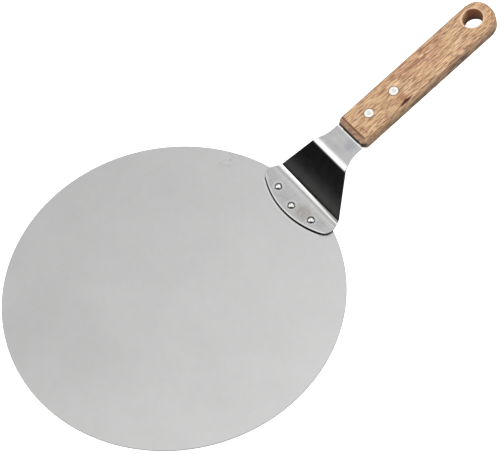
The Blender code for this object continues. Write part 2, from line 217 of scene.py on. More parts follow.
class HandleRivetSettings(bpy.types.PropertyGroup):
    """The two rivets that hold the handle on the tang."""

    shank: length("Shank", "Across the rivet's shank", 0.0044)
    head: length("Head", "Across each flat head", 0.0073)
    head_thickness: length("Head thickness", "Of each head", 0.0012)
    crown: length("Crown", "How far a head stands out of the wood", 0.0002)
    dimple: length("Dimple", "Across the mark in the middle", 0.003)
    from_front: length("From front", "From the handle's front to the first rivet", 0.0207)
    spacing: length("Spacing", "From rivet to rivet", 0.0249)
    metal: colour("Metal", "Colour of the discs", (0.97, 0.96, 0.9))


class StageSettings(bpy.types.PropertyGroup):
    """The floor, the light and the camera."""

    lens: FloatProperty(name="Lens", description="Focal length, 36 mm sensor", default=102.48, unit="CAMERA")
    place: FloatVectorProperty(
        name="Place", description="Of the camera", default=(-0.2232, -0.4698, 0.915), subtype="TRANSLATION"
    )
    floor_size: length("Floor size", "Across the round floor", 4)
    ambient: FloatProperty(name="Ambient", description="Strength of light from above", default=1.05, min=0)


SETTINGS = {
    "blade": BladeSettings,
    "shank": ShankSettings,
    "blade_rivets": BladeRivetSettings,
    "handle": HandleSettings,
    "handle_rivets": HandleRivetSettings,
    "stage": StageSettings,
}


def chosen(context, *names):
    """What the user has set for some pieces."""
    return [getattr(context.scene, f"lifter_{name}") for name in names]


class Value:
    """A node's output that Python's arithmetic works on, with one Math node for each step."""

    def __init__(self, nodes, socket):
        self.nodes = nodes
        self.socket = socket

    def math(self, operation, *others):
        return self.nodes.node("ShaderNodeMath", dict(enumerate((self, *others))), operation=operation)

    def __add__(self, other):
        return self.math("ADD", other)

    def __sub__(self, other):
        return self.math("SUBTRACT", other)

    def __rsub__(self, other):
        return self.nodes.node("ShaderNodeMath", {0: other, 1: self}, operation="SUBTRACT")

    def __mul__(self, other):
        return self.math("MULTIPLY", other)

    def __truediv__(self, other):
        return self.math("DIVIDE", other)

    def __pow__(self, other):
        return self.math("POWER", other)

    __radd__, __rmul__ = __add__, __mul__

    def most(self, other):
        return self.math("MAXIMUM", other)

    def size(self):
        return self.math("ABSOLUTE")

    def root(self):
        return self.math("SQRT")

    def step(self, low, high):
        """0 below low, 1 above high and smooth between; with low above high it falls instead."""
        first, last = (0, 1) if low < high else (1, 0)
        ends = {"From Min": min(low, high), "From Max": max(low, high), "To Min": first, "To Max": last}
        return self.nodes.node("ShaderNodeMapRange", {"Value": self, **ends}, interpolation_type="SMOOTHSTEP")

    def band(self, start, full, fading, gone):
        """Rises from start to full, and falls from fading to gone."""
        return self.step(start, full) * self.step(gone, fading)


# What most materials are
BARE_METAL = {"Metallic": 1}


class Nodes:
    """The node tree of one material or of the world."""

    def __init__(self, owner):
        owner.use_nodes = True
        self.owner = owner
        self.tree = owner.node_tree
        self.tree.nodes.clear()

    def node(self, kind, sockets=None, output=0, **settings):
        """Adds a node with its settings, and numbers or links for its sockets."""
        made = self.tree.nodes.new(kind)
        for name, value in settings.items():
            setattr(made, name, value)
        for name, value in (sockets or {}).items():
            socket = made.inputs[name]
            if isinstance(value, Value):
                self.tree.links.new(value.socket, socket)
            else:
                socket.default_value = (*value, 1) if socket.type == "RGBA" else value
        return Value(self, made.outputs[output])

    def place(self):
        """Where a point of the surface is, in metres."""
        return self.node("ShaderNodeTexCoord", output="Object")

    def turned(self, where, location, rotation):
        """The same point, measured from another place along turned axes."""
        sockets = {"Vector": where, "Location": location, "Rotation": rotation}
        return self.node("ShaderNodeMapping", sockets, vector_type="TEXTURE")

    def parts(self, where):
        """A point's three coordinates."""
        split = self.node("ShaderNodeSeparateXYZ", {0: where})
        return [Value(self, socket) for socket in split.socket.node.outputs]

    def noise(self, where, sizes, detail=3, roughness=0.55, shift=0):
        """Noise from 0 to 1, with one size in metres, or three along x, y and z."""
        sizes = sizes if isinstance(sizes, tuple) else (sizes,) * 3
        sockets = {"Vector": where, "Location": (shift,) * 3, "Scale": tuple(1 / size for size in sizes)}
        scaled = self.node("ShaderNodeMapping", sockets, vector_type="POINT")
        sockets = {"Vector": scaled, "Scale": 1, "Detail": detail, "Roughness": roughness}
        return self.node("ShaderNodeTexNoise", sockets, noise_dimensions="3D")

    def mix(self, factor, first, second):
        """From the first colour at 0 to the second at 1."""
        return self.node("ShaderNodeMix", {0: factor, 6: first, 7: second}, 2, data_type="RGBA")

    def layered(self, tint, *layers):
        """A colour under others, each given with how much it covers."""
        for cover, other in layers:
            tint = self.mix(cover, tint, other)
        return tint

    def finish(self, shader, kind="ShaderNodeOutputMaterial"):
        end = self.tree.nodes.new(kind)
        self.tree.links.new(shader.socket, end.inputs["Surface"])
        return self.owner

    def surface(self, tint, light, roughness, relief, others=BARE_METAL):
        """Ends a material; its relief is a height, a strength and a distance."""
        height, strength, depth = relief
        bump = {"Height": height, "Strength": strength, "Distance": depth}
        sockets = {
            "Base Color": self.node("ShaderNodeVectorMath", {0: tint, "Scale": light}, operation="SCALE"),
            "Roughness": roughness,
            "Normal": self.node("ShaderNodeBump", bump),
        }
        return self.finish(self.node("ShaderNodeBsdfPrincipled", {**sockets, **others}))


def new_material(name):
    return Nodes(bpy.data.materials.new(name))


def spot(first, second, mark, soft):
    """A soft oval patch: 1 in its middle and 0 outside it."""
    (x, y), (long, wide) = mark
    return (((first - x) / long) ** 2 + ((second - y) / wide) ** 2).step(1, 1 - soft)


def distance(first, second):
    """How far a point is from 0, 0."""
    return (first**2 + second**2).root()


def from_arc(x, y, shank):
    """Distance from the centre of the foot's front edge."""
    return distance(x - shank.foot_front - shank.foot_radius, y)


def rivet_places(shank, rivet, height=0):
    """Centres of the three foot rivets, on an arc that follows the foot's front edge."""
    radius = shank.foot_radius - rivet.edge_distance
    centre_x = shank.foot_front + shank.foot_radius
    across = (-rivet.spacing, 0, rivet.spacing)
    return [(centre_x - sqrt(radius**2 - y**2), y, height) for y in across]


def from_rivets(x, y, shank, rivet):
    """How far a point is from each foot rivet: along x, along y and in all."""
    for rivet_x, rivet_y, _ in rivet_places(shank, rivet):
        away_x, away_y = x - rivet_x, y - rivet_y
        yield away_x, away_y, distance(away_x, away_y)


def from_pins(s, t, pin):
    """Distance from the nearer of the two handle rivets."""
    middle = pin.from_front + pin.spacing / 2
    return distance((s - middle).size() - pin.spacing / 2, t)


def handle_front_place(shank):
    """The middle of the handle's front, on the tang's middle layer."""
    mid_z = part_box("blade")[1].z + SEAT_GAP + shank.thickness / 2
    slope, neck = shank.slope_length, shank.neck_length
    x = shank.lower_bend + slope * cos(shank.slope) + neck * cos(shank.rise)
    return Vector((x, 0, mid_z + slope * sin(shank.slope) + neck * sin(shank.rise)))


def pin_places(shank, pin):
    """Centres of the two handle rivets."""
    along = Vector((cos(shank.rise), 0, sin(shank.rise)))
    return [handle_front_place(shank) + along * s for s in (pin.from_front, pin.from_front + pin.spacing)]


def from_handle(made, where, shank):
    """A point measured from the handle's front: along, across and upwards."""
    return made.turned(where, tuple(handle_front_place(shank)), (0, -shank.rise, 0))


def blade_steel(blade, shank):
    """Matt sheet with a faint grain, soft blotches and a few short scuffs."""
    made = new_material("matt_sheet_steel")
    where = made.place()
    x, y, z = made.parts(where)
    grain = made.noise(where, (0.03, 0.00028, 0.01), detail=4, roughness=0.7)
    blotches = made.noise(where, 0.045, detail=4, roughness=0.6)
    mottle = made.noise(where, 0.006, roughness=0.6, shift=3)
    turned = made.turned(where, (0, 0, 0), (0, 0, radians(35)))
    scratch = made.noise(turned, (0.016, 0.0005, 0.01), detail=1, shift=7).step(0.7, 0.8)
    scuffs = scratch * made.noise(where, 0.03, detail=1, shift=11).step(0.52, 0.7)
    worn = spot(x, y, WORN_MARK, 0.9) * made.noise(where, (0.004, 0.0012, 0.01)).step(0.45, 0.7)
    # Painted shade: the blade a little darker over the area away from the handle
    far_side_shade = spot(x, y, SHADED_AREA, 1)
    light = 0.985 + (blotches - 0.5) * 0.1 + (mottle - 0.5) * 0.06 + (grain - 0.5) * 0.05 - far_side_shade * 0.05

    # Painted shade on the cut rim, and along the foot's front a painted shadow with a painted highlight line next
    # to it
    rim = distance(x, y).step(blade.diameter / 2 - 0.0004, blade.diameter / 2 - 0.0001)
    from_foot = from_arc(x, y, shank) - shank.foot_radius
    near_foot = y.size().step(0.0345, 0.0325) * z.step(0.0004, 0.0006)
    painted_shadow = from_foot.step(0.001, 0.0004) * near_foot
    painted_halo = from_foot.band(0.001, 0.0014, 0.0015, 0.0024) * near_foot
    light = (light - scuffs * 0.06 - worn * 0.16 - rim * 0.4 + painted_halo * 0.26) * (1 - painted_shadow * 0.92)
    roughness = blade.roughness + (blotches - 0.5) * 0.08 + (grain - 0.5) * 0.08 + scuffs * 0.12 + worn * 0.1
    height = grain * 0.6 + mottle * 0.2 - scuffs * 0.5
    return made.surface(blade.metal, light, roughness, (height, 0.1, 0.00003))


def shank_steel(shank, rivet):
    """Satin plate with a fine grain, smudges on the foot and a bluish mark on the neck."""
    made = new_material("satin_plate_steel")
    where = made.place()
    x, y, z = made.parts(where)
    s, t, n = made.parts(from_handle(made, where, shank))
    grain = made.noise(where, (0.012, 0.00025, 0.00025), detail=4, roughness=0.7)
    blotches = made.noise(where, 0.009, detail=4, roughness=0.65, shift=5)
    marks = made.noise(where, (0.0042, 0.0022, 0.003), roughness=0.7, shift=2)
    streaks = made.noise(where, (0.0016, 0.006, 0.003), roughness=0.6, shift=8)
    on_foot = z.step(0.0045, 0.0032)
    brown = spot(x, y, BROWN_SMUDGE, 1) * marks.step(0.16, 0.6) * on_foot
    grey = sum(spot(x, y, smudge, 0.9) for smudge in GREY_SMUDGES) * streaks.step(0.36, 0.64) * on_foot
    bluish = spot(s, t, BLUISH_MARK, 1) * marks.step(0.26, 0.6)
    darkened = spot(s, t, DULL_MARK, 0.9) * streaks.step(0.34, 0.66)

    # A band of painted shade in front of the lower bend; painted light on the foot nearing that bend, and painted
    # highlights on both bends, on the neck's lower end, on a line just before the wood and along the foot's front
    # edge
    bend = x - (shank.lower_bend - 0.002)
    upper_bend = s - (0.0024 - shank.neck_length)
    bend_dark_band = bend.band(-0.0034, -0.0021, -0.0012, -0.0003) * on_foot
    painted_glow = bend.step(-0.008, -0.0036) * on_foot
    neck_highlight = upper_bend.step(0.0019, -0.0002) + s.band(-0.0015, -0.0011, -0.0006, -0.0003)
    painted_highlight = bend.band(-0.0016, 0.0004, 0.0014, 0.0023) + neck_highlight * n.step(0.0003, 0.0006)
    from_edge = shank.foot_radius - from_arc(x, y, shank)
    rim_highlight = from_edge.band(0.0001, 0.0004, 0.0009, 0.0016) * on_foot * x.step(0.124, 0.122)

    # Each rivet has a painted shadow along its front side and a painted highlight ring round it
    painted_shadow, painted_halo = 0, 0
    for away_x, away_y, away in from_rivets(x, y, shank, rivet):
        below = (away_x * -0.64 + away_y * -0.77).step(0.0002, 0.0018)
        painted_shadow = away.step(0.0037, 0.0031) * below + painted_shadow
        painted_halo = away.band(0.0032, 0.0038, 0.0042, 0.005) + painted_halo

    # Painted shade darkens the lower bend's far end along an askew line, and the slope; a painted shadow lies on
    # the plate next to the wood
    askew_shade = (bend - y * 0.024).step(0.0008, 0.0018) * z.step(0.0062, 0.0036)
    slope_shade = n.step(0.0002, -0.0012) * z.step(0.004, 0.0062)
    wood_shadow = s.step(-0.0004, -0.0002) * n.step(0, 0.0003)

    smudge, haze = (brown * 0.42, paint(140, 122, 96)), (bluish * 0.4, paint(150, 154, 178))
    tint = made.layered(shank.metal, smudge, haze)
    light = 0.99 + (blotches - 0.5) * 0.3 + (streaks - 0.5) * 0.2 + (grain - 0.5) * 0.08
    light = light + painted_glow * 0.14 - bend_dark_band * 0.24 - grey * 0.16 - darkened * 0.12
    light = light * (1 + painted_highlight * 0.72 + rim_highlight * 0.44 + painted_halo * on_foot * 0.16)
    for dark, strength in ((painted_shadow * on_foot, 0.94), (wood_shadow, 0.92), (askew_shade, 0.85), (slope_shade, 0.22)):
        light = light * (1 - dark * strength)
    roughness = shank.roughness + (blotches - 0.5) * 0.08 + (grain - 0.5) * 0.06 + grey * 0.06 + brown * 0.1
    return made.surface(tint, light, roughness, (grain * 0.5 + marks * 0.5, 0.12, 0.00004))


def cut_steel(shank):
    """The sheared edges, with painted shade near black at the foot's front and by the wood."""
    made = new_material("sheared_steel_edge")
    where = made.place()
    x, y, z = made.parts(where)
    s, t, n = made.parts(from_handle(made, where, shank))
    tears = made.noise(where, (0.00035, 0.00035, 0.0012), detail=4, roughness=0.7)
    mottle = made.noise(where, 0.003, shift=4)
    # Painted shade: the edges near black at the foot's front and by the wood
    edge_shadow = x.step(0.13, 0.124) * z.step(0.0032, 0.0026) + s.step(-0.0008, -0.0006)
    tint = made.layered((0.6, 0.6, 0.6), (mottle, (0.48, 0.475, 0.47)), (edge_shadow, (0.02, 0.019, 0.018)))
    return made.surface(tint, 0.8 + tears * 0.4, 0.34 + tears * 0.16, (tears, 0.35, 0.00008))


def rivet_steel(rivet, shank):
    """Bright steel with fine marks from the press, and arcs of painted shade."""
    made = new_material("press_formed_rivet_steel")
    where = made.place()
    x, y, z = made.parts(where)
    marks = made.noise(where, 0.001, detail=4, roughness=0.65)
    fine = made.noise(where, 0.0003, detail=2, shift=4)
    # Painted shade: a dark arc on each head's side towards +Y
    darkened = 0
    for away_x, away_y, away in from_rivets(x, y, shank, rivet):
        darkened = away.band(0.0014, 0.002, 0.003, 0.0036) * (away_x * 0.4 + away_y * 0.92).step(0, 0.0011) + darkened
    light = 0.97 + (marks - 0.5) * 0.14 - darkened * 0.84
    roughness = 0.14 + marks * 0.1 + (fine - 0.5) * 0.06
    return made.surface(rivet.metal, light, roughness, (marks, 0.15, 0.00004))


def handle_wood(handle, pin, shank):
    """Oiled hardwood: warm patches, dark lines and short pores along the grain, and one knot."""
    made = new_material("oiled_hardwood")
    where = from_handle(made, made.place(), shank)
    s, t, n = made.parts(where)
    waves = (made.noise(where, (0.05, 0.015, 0.015), detail=1, shift=9) - 0.5) * 0.001
    gs, gt, gn = made.parts(made.turned(where, (0, 0, 0), (0, 0, -handle.grain_angle)))
    along = made.node("ShaderNodeCombineXYZ", {0: gs, 1: gt + waves, 2: gn + waves})

    def streaks(long, wide, detail=2, roughness=0.6, shift=0):
        """Noise drawn out along the grain."""
        return made.noise(along, (long, wide, wide), detail, roughness, shift)

    broad = streaks(0.04, 0.0036, detail=3)
    lines = streaks(0.011, 0.00054, roughness=0.65, shift=1)
    long_lines = streaks(0.026, 0.0017, shift=8)
    fine_lines = streaks(0.008, 0.00042, shift=6)
    pale_lines = streaks(0.01, 0.00062, shift=5)
    fibres = streaks(0.005, 0.00035, shift=2)
    pores = streaks(0.0038, 0.00056, detail=1.5, roughness=0.5, shift=3)
    patches = streaks(0.016, 0.004, roughness=0.55, shift=4)
    golden = made.noise(where, (0.024, 0.01, 0.01), detail=2, roughness=0.5, shift=12)
    stains = made.noise(where, (0.008, 0.005, 0.0026), roughness=0.65, shift=21)
    speckle = made.noise(where, 0.0011, roughness=0.7, shift=7)
    worn = made.noise(where, (0.003, 0.0022, 0.0022), roughness=0.65, shift=16)

    # The bundle of reddish lines on the side away from the knot
    bundle = s.band(0.05, 0.064, 0.09, 0.106) * t.band(0, 0.003, 0.0115, 0.013) * n.step(0.004, 0.007)

    # The knot on the edge, a reddish haze above it, and a darker patch low on the same side
    from_marks = s - (pin.from_front - MARKS_TO_RIVET)
    wander = (fine_lines - 0.5) * 0.0016
    upper = n.step(0.0054, 0.0066)
    haze = spot(from_marks, t, KNOT_HAZE, 1) * fine_lines.step(0.32, 0.55) * upper
    at_knot = from_marks, t + wander
    knot = spot(*at_knot, KNOT_SPINDLE, 0.7).most(spot(*at_knot, KNOT_MIDDLE, 0.8)) * upper
    patch = spot(from_marks, n + wander, DARK_PATCH, 0.9) * t.step(-0.0118, -0.0134)

    # Painted shade: the sides darker towards the underside and along the edges round the end; the side stains are
    # real, but grow stronger low down as painted shade too
    side = t.size().step(handle.width / 2 - 0.0022, handle.width / 2 - 0.0002)
    low = n.step(0.004, -0.004)
    round_end = n.step(0.0072, 0.0042) * t.step(-0.01, -0.008) + t.step(0.0122, 0.0136)
    round_end = round_end.most(s.step(handle.length - 0.0022, handle.length - 0.0004))

    # The front's end grain, with painted shadow where the tang enters and under one corner, and painted shade
    # along its top edge
    lean = handle.front_lean / (handle.thickness / 2)
    front = (s - n.size() * lean).step(0.0011, 0.0005)
    corner = spot(t, n, FRONT_CORNER_SHADOW, 0.6) * s.step(0.0052, 0.003)
    gap = front * n.size().step(0.0026, 0.0017)
    front_edge = (handle.front_lean + 0.0002, handle.thickness / 2), (0.001, 0.0017)
    edge_shade = spot(s, n, front_edge, 0.6) * (0.45 + worn * 0.7)

    # The hanging hole's wall: unsanded end grain, darkened further with painted shade deeper in and lit with
    # painted light on the near side, and a pale painted highlight round its mouth
    hole_s = handle.length - handle.hole_from_end
    from_s, from_t = s - hole_s, t - handle.hole_off_middle
    from_hole = distance(from_s, from_t) - handle.hole / 2
    bore = from_hole.step(0.0011, 0.0003)
    near_wall = (from_t * 0.6 - from_s * 0.8).step(0.002, 0.007)
    mouth = from_hole.band(0.0003, 0.0007, 0.0012, 0.0018) * n.step(0.0055, 0.0068)

    # Wood crushed a little round each rivet
    crushed = from_pins(s, t, pin).step(0.0048, 0.0038) * n.size().step(0.006, 0.0075)

    tint = made.layered(
        handle.light_wood,
        (broad.step(0.38, 0.62), handle.warm_wood),
        (golden.step(0.46, 0.62) * 0.55, paint(208, 173, 125)),
        (bundle * 0.3, paint(198, 146, 116)),
        (pale_lines.step(0.5, 0.64) * 0.5, paint(238, 211, 173)),
        (fine_lines.step(0.48, 0.64) * 0.56, handle.dark_wood),
        (lines.step(0.49, 0.6) * 0.9, paint(122, 78, 55)),
        (long_lines.step(0.49, 0.56) * bundle * 0.7, paint(138, 84, 64)),
        (pores.step(0.56, 0.66) * patches.step(0.3, 0.52) * 0.84, handle.pores),
        (haze * 0.7, paint(150, 92, 66)),
        (knot * 0.96, paint(66, 22, 8)),
        (patch * fine_lines.step(0.3, 0.5) * 0.85, paint(88, 56, 42)),
        # Painted shade on the sides and the edges round the end
        (side * n.step(0.0036, -0.0056) * 0.6, paint(118, 95, 79)),
        (side * stains.step(0.46, 0.56) * (0.16 + low * 0.66), paint(84, 58, 42)),
        (round_end * 0.34, paint(112, 88, 70)),
        (front * 0.78, paint(216, 178, 146)),
        (front * worn.step(0.4, 0.56) * 0.66, paint(138, 107, 90)),
        (front * speckle.step(0.48, 0.6) * 0.55, paint(116, 84, 68)),
        # Painted shadow where the tang enters and at the corner, painted shade on the front's top edge
        (gap.most(corner) * 0.94, paint(34, 24, 18)),
        (edge_shade, paint(108, 70, 48)),
        # The hole's wall with painted shade, then a painted highlight on its mouth
        (bore * (0.85 - near_wall * 0.8) * (0.7 + speckle * 0.6), paint(126, 70, 34)),
        (bore * n.step(0.002, -0.006) * 0.55, paint(58, 34, 22)),
        (mouth * 0.5, paint(232, 200, 172)),
        (crushed * 0.4, paint(140, 104, 80)),
    )
    # Painted light on the hanging hole's near wall
    light = 1.13 + (fibres - 0.5) * 0.5 + (patches - 0.5) * 0.14 + bore * near_wall * 0.4
    roughness = 0.56 + (fine_lines - 0.5) * 0.12 + bore * 0.12
    height = fibres * 0.35 - lines * 0.5 - pores * 0.4
    return made.surface(tint, light, roughness, (height, 0.35, 0.00015), {"Specular IOR Level": 0.35})


def disc_aluminium(pin, shank):
    """Sanded discs with a duller round mark in the middle."""
    made = new_material("sanded_aluminium")
    where = from_handle(made, made.place(), shank)
    s, t, n = made.parts(where)
    out = from_pins(s, t, pin)
    mark = out.step(pin.dimple / 2 + 0.0003, pin.dimple / 2 - 0.0001)
    pip = out.step(0.0007, 0.0003)
    rim = out.step(pin.head / 2 - 0.0007, pin.head / 2 - 0.0001)
    sanding = made.noise(where, (0.004, 0.00018, 0.004), roughness=0.6)
    spots = made.noise(where, 0.0009, shift=3)
    light = 1.02 + (sanding - 0.5) * 0.08 - mark * (0.06 + spots * 0.22) + pip * 0.04 - rim * 0.22
    roughness = 0.46 + (sanding - 0.5) * 0.12 + mark * 0.08
    return made.surface(pin.metal, light, roughness, (sanding + spots * 0.4, 0.15, 0.00003))


def floor_paint():
    """A pale, evenly lit floor, a little uneven."""
    made = new_material("pale_floor")
    cloud = made.noise(made.place(), 0.3, detail=2)
    sockets = {
        "Base Color": made.mix(cloud * 0.3, (0.86, 0.86, 0.86), (0.9, 0.9, 0.9)),
        "Roughness": 0.9,
        "Specular IOR Level": 0,
        "Emission Color": (1, 1, 1),
        "Emission Strength": 0.8,
    }
    return made.finish(made.node("ShaderNodeBsdfPrincipled", sockets))


def studio_light(stage):
    """A soft studio: a grey ceiling, bright lamps and dark walls for metal to mirror."""
    world = bpy.data.worlds.new("soft_studio")
    bpy.context.scene.world = world
    made = Nodes(world)
    x, y, z = made.parts(made.node("ShaderNodeTexCoord", output="Generated"))

    # What metal mirrors at first hand: the ceiling, the photographer's shape and a paler far wall
    aside = ((x - 0.13) ** 2 + 0.0009).root()
    ceiling = (0.775 + aside * 0.48 - (y - 0.44) * 1.03).most(0.5).math("MINIMUM", 1.08)
    ceiling = ceiling * z.step(0.1, 0.62) * y.step(0.9, 0.7) * x.step(0.92, 0.76)
    across = x * 0.788 - y * 0.613 - z * 0.061
    upward = x * 0.549 + y * 0.654 + z * 0.52
    shape = spot(across, upward, ((-0.08, -0.62), (0.76, 0.62)), 0.4)
    far = y.step(0.76, 0.9) * z.band(0.06, 0.2, 0.5, 0.8)
    walls = 0.01 + z.step(0, 0.5) * 0.05 + far * 0.36

    # A strip of light on the far left, two lamps low on the right, one overhead, and the white floor
    strip = x.band(-0.99, -0.88, -0.42, -0.22) * z.band(0.28, 0.62, 0.78, 0.95)
    strip = strip * y.band(0.2, 0.36, 0.58, 0.72)
    panel = x.step(0.42, 0.54) * y.step(-0.42, -0.55) * z.band(-0.02, 0.08, 0.46, 0.58)
    round_lamp = spot(x, z, ((0.62, 0.38), (0.07, 0.07)), 0.6) * y.step(-0.5, -0.6)
    overhead = spot(x, y, ((0.14, -0.08), (0.38, 0.29)), 0.8) * z.step(0.5, 0.7)
    lamps = strip * 1.3 + panel * 0.5 + round_lamp * 0.9 + overhead * 0.75
    first = walls.most(ceiling * (1 - shape * 0.97)) + lamps + z.step(-0.45, -0.72)

    # What it mirrors by way of another piece is dim
    second = 0.034 + z.step(0.6, 0.9) * 0.19
    path = made.node("ShaderNodeLightPath").socket.node.outputs
    bounces, is_glossy, is_camera = (
        Value(made, path[name]) for name in ("Glossy Depth", "Is Glossy Ray", "Is Camera Ray")
    )
    again = bounces.step(1.2, 1.8)
    mirrored = first * (1 - again) + second * again

    # What lights the wood and the floor
    above = z.step(-0.2, 0.4) * (1 - y * 0.15 - x * 0.1)
    right = (x * 0.45 - y * 0.89).step(0.45, 0.95) * z.band(-0.15, 0.15, 0.55, 0.85)
    ambient = 0.05 + above * stage.ambient + right * 0.55
    strength = is_camera + (1 - is_camera) * (is_glossy * mirrored + (1 - is_glossy) * ambient)
    tint = made.mix(strip, (1, 1, 1), (1, 0.995, 0.945))
    shader = made.node("ShaderNodeBackground", {"Color": tint, "Strength": strength})
    made.finish(shader, "ShaderNodeOutputWorld")


def mode(name):
    """Goes to edit or object mode."""
    bpy.ops.object.mode_set(mode=name)


def deselect():
    """Leaves nothing selected, in object mode."""
    if bpy.context.object and bpy.context.object.mode != "OBJECT":
        mode("OBJECT")
    bpy.ops.object.select_all(action="DESELECT")


def take(piece):
    """Selects one piece alone."""
    deselect()
    piece.select_set(True)
    bpy.context.view_layer.objects.active = piece


def named(name):
    """Names the piece that was just made."""
    piece = bpy.context.object
    piece.name = piece.data.name = name
    return piece


def choose(piece, test, kind="VERT"):
    """In edit mode, selects the points or edges that pass a test."""
    bpy.ops.mesh.select_mode(type=kind)
    bpy.ops.mesh.select_all(action="DESELECT")
    bm = bmesh.from_edit_mesh(piece.data)
    found = [element for element in (bm.edges if kind == "EDGE" else bm.verts) if test(element)]
    for element in found:
        element.select_set(True)
    bm.select_flush_mode()
    bmesh.update_edit_mesh(piece.data)
    if not found:
        raise RuntimeError(f"nothing to select on {piece.name}")


def select_mesh():
    bpy.ops.mesh.select_all(action="SELECT")


def weld():
    """In edit mode, makes one point of those that lie together."""
    select_mesh()
    bpy.ops.mesh.remove_doubles(threshold=TOUCHING)


def draw(name, start, strokes, in_space, axis):
    """Draws a flat line in edit mode; in_space places its points, and its arcs turn about the axis.

    A stroke is a point to go to, or a centre, an angle and a number of steps.
    """
    deselect()
    bpy.ops.mesh.primitive_plane_add(size=0.001)
    piece = named(name)
    mode("EDIT")
    bpy.ops.mesh.select_mode(type="VERT")
    select_mesh()
    bpy.ops.mesh.merge(type="CENTER")
    here = Vector(in_space(*start))
    bpy.ops.transform.translate(value=here)
    for stroke in strokes:
        if len(stroke) == 2:
            there = Vector(in_space(*stroke))
            bpy.ops.mesh.extrude_vertices_move(TRANSFORM_OT_translate={"value": there - here})
            here = there
        else:
            centre, turn, steps = stroke
            centre = Vector(in_space(*centre))
            bpy.ops.mesh.spin(steps=steps, angle=-turn, center=centre, axis=axis)
            here = centre + Matrix.Rotation(turn, 3, Vector(axis)) @ (here - centre)
    weld()
    return piece


def lathe(name, start, strokes, sides):
    """Turns a line about the Z axis, where it starts; its points are (radius, height)."""
    piece = draw(name, (0, start), strokes, lambda radius, height: (radius, 0, height), (0, 1, 0))
    select_mesh()
    bpy.ops.mesh.spin(steps=sides, angle=2 * pi, center=(0, 0, 0), axis=(0, 0, 1), use_auto_merge=True)
    weld()
    bpy.ops.mesh.normals_make_consistent(inside=False)
    mode("OBJECT")
    return piece


def both_halves(upper):
    """A line with the mirror image of its upper half below, up to the axis."""
    return [(radius, -height) for radius, height in reversed(upper)] + upper + [(0, upper[-1][1])]


def copied(piece, name, location, rise=0):
    """A copy with its own mesh, at another place."""
    take(piece)
    bpy.ops.object.duplicate(linked=False)
    twin = named(name)
    twin.location = location
    twin.rotation_euler = (0, -rise, 0)
    return twin


def block(name, start, end, width, thickness):
    """A block round the X axis."""
    deselect()
    size = (end - start, width, thickness)
    bpy.ops.mesh.primitive_cube_add(size=1, location=((start + end) / 2, 0, 0), scale=size)
    return placed(named(name))


def joined(pieces):
    """Several shapes as one object."""
    take(pieces[0])
    for piece in pieces:
        piece.select_set(True)
    bpy.ops.object.join()
    return bpy.context.object


def placed(piece):
    """Puts a piece's place and turn into its mesh."""
    take(piece)
    bpy.ops.object.transform_apply(location=True, rotation=True, scale=True)
    return piece


def modify(piece, kind, **settings):
    """Applies a modifier to a piece."""
    take(piece)
    modifier = piece.modifiers.new(kind.lower(), kind)
    for name, value in settings.items():
        setattr(modifier, name, value)
    bpy.ops.object.modifier_apply(modifier=modifier.name)


def cut(piece, cutter):
    """Cuts a shape out of a piece, and takes the shape away."""
    modify(piece, "BOOLEAN", operation="DIFFERENCE", solver="EXACT", object=cutter)
    bpy.data.objects.remove(cutter)


def cut_each(piece, cutter, places):
    """Cuts one shape out of a piece in several places."""
    cutters = [copied(cutter, "cutter", place) for place in places]
    bpy.data.objects.remove(cutter)
    cut(piece, placed(joined(cutters)))


def drill(rivet, place, rise=0):
    """A round cutter for a rivet's hole through the plate."""
    radius = rivet.shank / 2 + SEAT_GAP
    turn = (0, -rise, 0)
    deselect()
    bpy.ops.mesh.primitive_cylinder_add(
        vertices=HOLE_SIDES, radius=radius, depth=DRILL_LENGTH, location=place, rotation=turn
    )
    return named("drill")


def show(piece, surface, node):
    """Shades a finished piece, gives it its material, and lets it stand for its CAD node."""
    placed(piece)
    bpy.ops.object.shade_smooth_by_angle(angle=SMOOTH_ANGLE)
    modify(piece, "WEIGHTED_NORMAL", keep_sharp=True, weight=80)
    piece.data.materials.clear()
    piece.data.materials.append(surface)
    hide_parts(node)
    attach(piece, "root")
    deselect()


def show_each(whole, surface, slot, sides, places, rise=0):
    """Shows a copy of a rivet in each of its places."""
    for side, place in zip(sides, places):
        show(copied(whole, f"{whole.name}_{side}", place, rise), surface, f"{slot}_{side}")
    bpy.data.objects.remove(whole)


def make_blade(blade, shank, rivet):
    half = blade.thickness / 2
    deselect()
    bpy.ops.mesh.primitive_cylinder_add(
        vertices=blade.sides, radius=blade.diameter / 2, depth=blade.thickness, location=(0, 0, half)
    )
    piece = named("blade_sheet")
    mode("EDIT")
    choose(piece, lambda edge: abs(edge.verts[0].co.z - edge.verts[1].co.z) < half, "EDGE")
    bpy.ops.mesh.bevel(offset=blade.rim_radius, segments=4, affect="EDGES")
    mode("OBJECT")

    tail = rivet.tail / 2 + SEAT_GAP
    bore = rivet.shank / 2 + SEAT_GAP
    above = blade.thickness + OVERRUN
    line = [(tail, -OVERRUN), (tail, rivet.recess), (bore, rivet.recess + tail - bore)]
    line += [(bore, above), (0, above)]
    cut_each(placed(piece), lathe("hole", -OVERRUN, line, HOLE_SIDES), rivet_places(shank, rivet))
    show(piece, blade_steel(blade, shank), "blade")


class LIFTER_OT_blade(bpy.types.Operator):
    """Make the round blade with its rivet holes"""

    bl_idname = "lifter.blade"
    bl_label = "Blade"

    def execute(self, context):
        make_blade(*chosen(context, "blade", "shank", "blade_rivets"))
        return {"FINISHED"}


